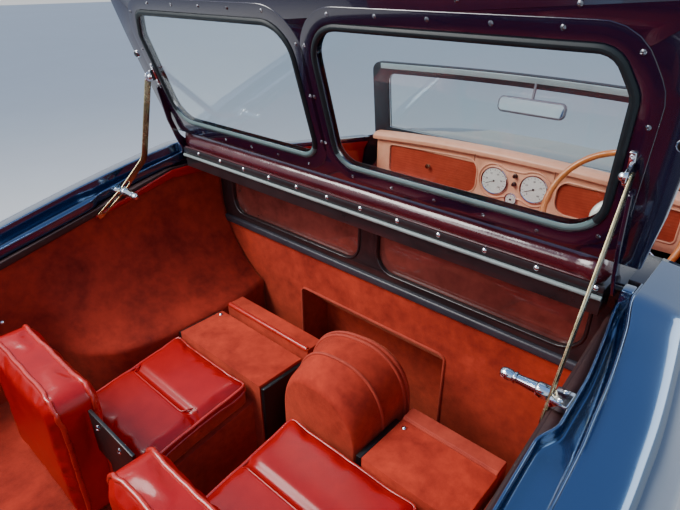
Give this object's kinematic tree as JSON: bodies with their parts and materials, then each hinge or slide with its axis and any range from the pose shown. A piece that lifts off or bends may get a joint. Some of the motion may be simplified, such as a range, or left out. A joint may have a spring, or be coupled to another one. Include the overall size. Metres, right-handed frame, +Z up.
{
  "type": "open roadster body tub with dickey seat",
  "caption": "Open two-seat roadster body off its chassis, with doors, windscreen, dash and a dickey compartment whose glazed front lid is raised on stays.",
  "frame": {"origin": "centre of the four body mounting bolts, on the underside of the body rails", "axes": "+X to the car's right-hand side, +Y forward, +Z up"},
  "size_m": [1.462, 2.6683, 1.2506],
  "materials": {
    "body_paint": "deep navy gloss coach paint",
    "chassis_paint": "satin black",
    "suede_carpet": "terracotta napped carpet",
    "red_leather": "polished red hide",
    "maroon_roll": "dark maroon gloss leathercloth",
    "chrome": "bright plating",
    "grey_rubber": "pale grey glazing rubber",
    "dark_trim": "dark leathercloth strip",
    "dark_gloss": "dark gloss infill",
    "clear_glass": "plate glass",
    "mirror_glass": "silvered glass in a dark shell",
    "dash_wood": "red-brown varnished veneer",
    "tan_leather": "tan padded edge",
    "dial_white": "white dial faces with bright rims",
    "wheel_rim": "tan rim, cream hub, bright spokes",
    "lamp_red": "red lens"
  },
  "bodies": {
    "tub": {"arch_cover_left": "suede_carpet", "arch_cover_right": "suede_carpet", "backrest_left": "red_leather", "backrest_right": "red_leather", "bench_back": "red_leather", "bench_cushion": "red_leather", "boot_floor": "suede_carpet", "bulkhead_lower": "suede_carpet", "cushion_left": "red_leather", "cushion_right": "red_leather", "dash_pad": "tan_leather", "dash_panel": "dash_wood", "deck_rail": "body_paint", "dials": "dial_white", "door_hinge_lugs": "body_paint", "floor_pan": "suede_carpet", "gutter_left": "body_paint", "gutter_rear": "body_paint", "gutter_right": "body_paint", "hump_cover": "suede_carpet", "mirror": "mirror_glass", "partition_frame": "body_paint", "partition_panes": "dark_gloss", "quarter_left": "body_paint", "quarter_right": "body_paint", "rear_hinge_lugs": "body_paint", "scuttle": "body_paint", "seal_bead": "grey_rubber", "seat_base_left": "suede_carpet", "seat_base_right": "suede_carpet", "seat_ironwork": "chassis_paint", "stay_clamps": "chrome", "steering_column": "chassis_paint", "stud_strip": "dark_trim", "tail_lamps": "lamp_red", "tail_panel": "body_paint", "trim_roll": "maroon_roll", "underframe": "chassis_paint", "wheel_arches": "chassis_paint", "windscreen_frame": "body_paint", "windscreen_glass": "clear_glass"},
    "front_lid": {"lid_frame": "body_paint", "lid_glass": "clear_glass", "lid_seals": "grey_rubber", "lid_brackets": "chrome"},
    "stay_left": {"stay_left": "chrome"},
    "stay_right": {"stay_right": "chrome"},
    "rear_lid": {"rear_lid": "body_paint", "rear_lid_lining": "suede_carpet", "rear_lid_leaves": "body_paint"},
    "door_left": {"door_left": "body_paint", "door_left_trim": "red_leather", "door_left_fittings": "chrome"},
    "door_right": {"door_right": "body_paint", "door_right_trim": "red_leather", "door_right_fittings": "chrome"},
    "steering_wheel": {"steering_wheel": "wheel_rim"}
  },
  "joints": [
    {"name": "front_lid_hinge", "type": "hinge", "parent": "tub", "child": "front_lid", "pos_m": [0, 0.017, 0.854], "axis": [1, 0, 0], "range_deg": [0, 86.5]},
    {"name": "stay_left_pivot", "type": "hinge", "parent": "front_lid", "child": "stay_left", "pos_m": [-0.546, -0.06475, 1.04442], "axis": [1, 0, 0], "range_deg": [-139, 0]},
    {"name": "stay_right_pivot", "type": "hinge", "parent": "front_lid", "child": "stay_right", "pos_m": [0.546, -0.06475, 1.04442], "axis": [1, 0, 0], "range_deg": [-139, 0]},
    {"name": "rear_lid_hinge", "type": "hinge", "parent": "tub", "child": "rear_lid", "pos_m": [0, -1.044, 0.62544], "axis": [1, 0, 0], "range_deg": [-100, 0]},
    {"name": "door_left_hinge", "type": "hinge", "parent": "tub", "child": "door_left", "pos_m": [-0.684, 0.8785, 0.435], "axis": [0, 0, -1], "range_deg": [0, 65]},
    {"name": "door_right_hinge", "type": "hinge", "parent": "tub", "child": "door_right", "pos_m": [0.684, 0.8785, 0.435], "axis": [0, 0, 1], "range_deg": [0, 65]},
    {"name": "steering_turn", "type": "hinge", "parent": "tub", "child": "steering_wheel", "pos_m": [0.362, 0.7, 0.685], "axis": [0, 0.9063, -0.4226], "range_deg": [-450, 450]}
  ],
  "couplings": [
    {"joint": "stay_left_pivot", "follows": "front_lid_hinge", "ratio": -1.5181},
    {"joint": "stay_right_pivot", "follows": "front_lid_hinge", "ratio": -1.599}
  ]
}
